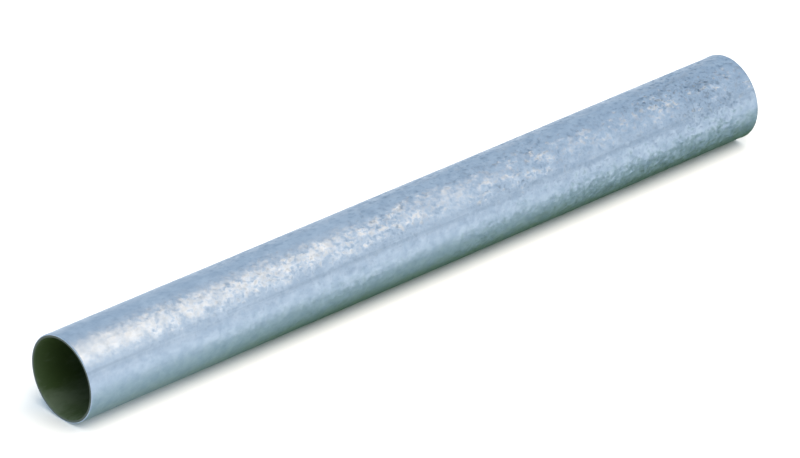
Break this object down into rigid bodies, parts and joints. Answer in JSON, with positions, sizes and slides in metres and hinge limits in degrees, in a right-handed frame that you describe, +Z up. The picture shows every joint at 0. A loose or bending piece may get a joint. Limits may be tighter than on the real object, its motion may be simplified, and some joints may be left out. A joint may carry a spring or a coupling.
{
  "type": "plain-end galvanised steel tube",
  "caption": "Short straight length of thin-walled round steel tube, galvanised outside, with plain square-cut and deburred ends.",
  "frame": {"origin": "centre of one end face, on the tube's axis", "axes": "+X along the tube's axis to the other end, +Z up with the tube lying on its side, the weld seam between +Z and -Y"},
  "size_m": [0.29, 0.0295, 0.0296],
  "materials": {
    "galvanised_steel": "hot-dip galvanised outside, slightly uneven and softly reflective, with a thin dark protective coat inside"
  },
  "bodies": {
    "root": {"tube": "galvanised_steel"}
  },
  "joints": []
}
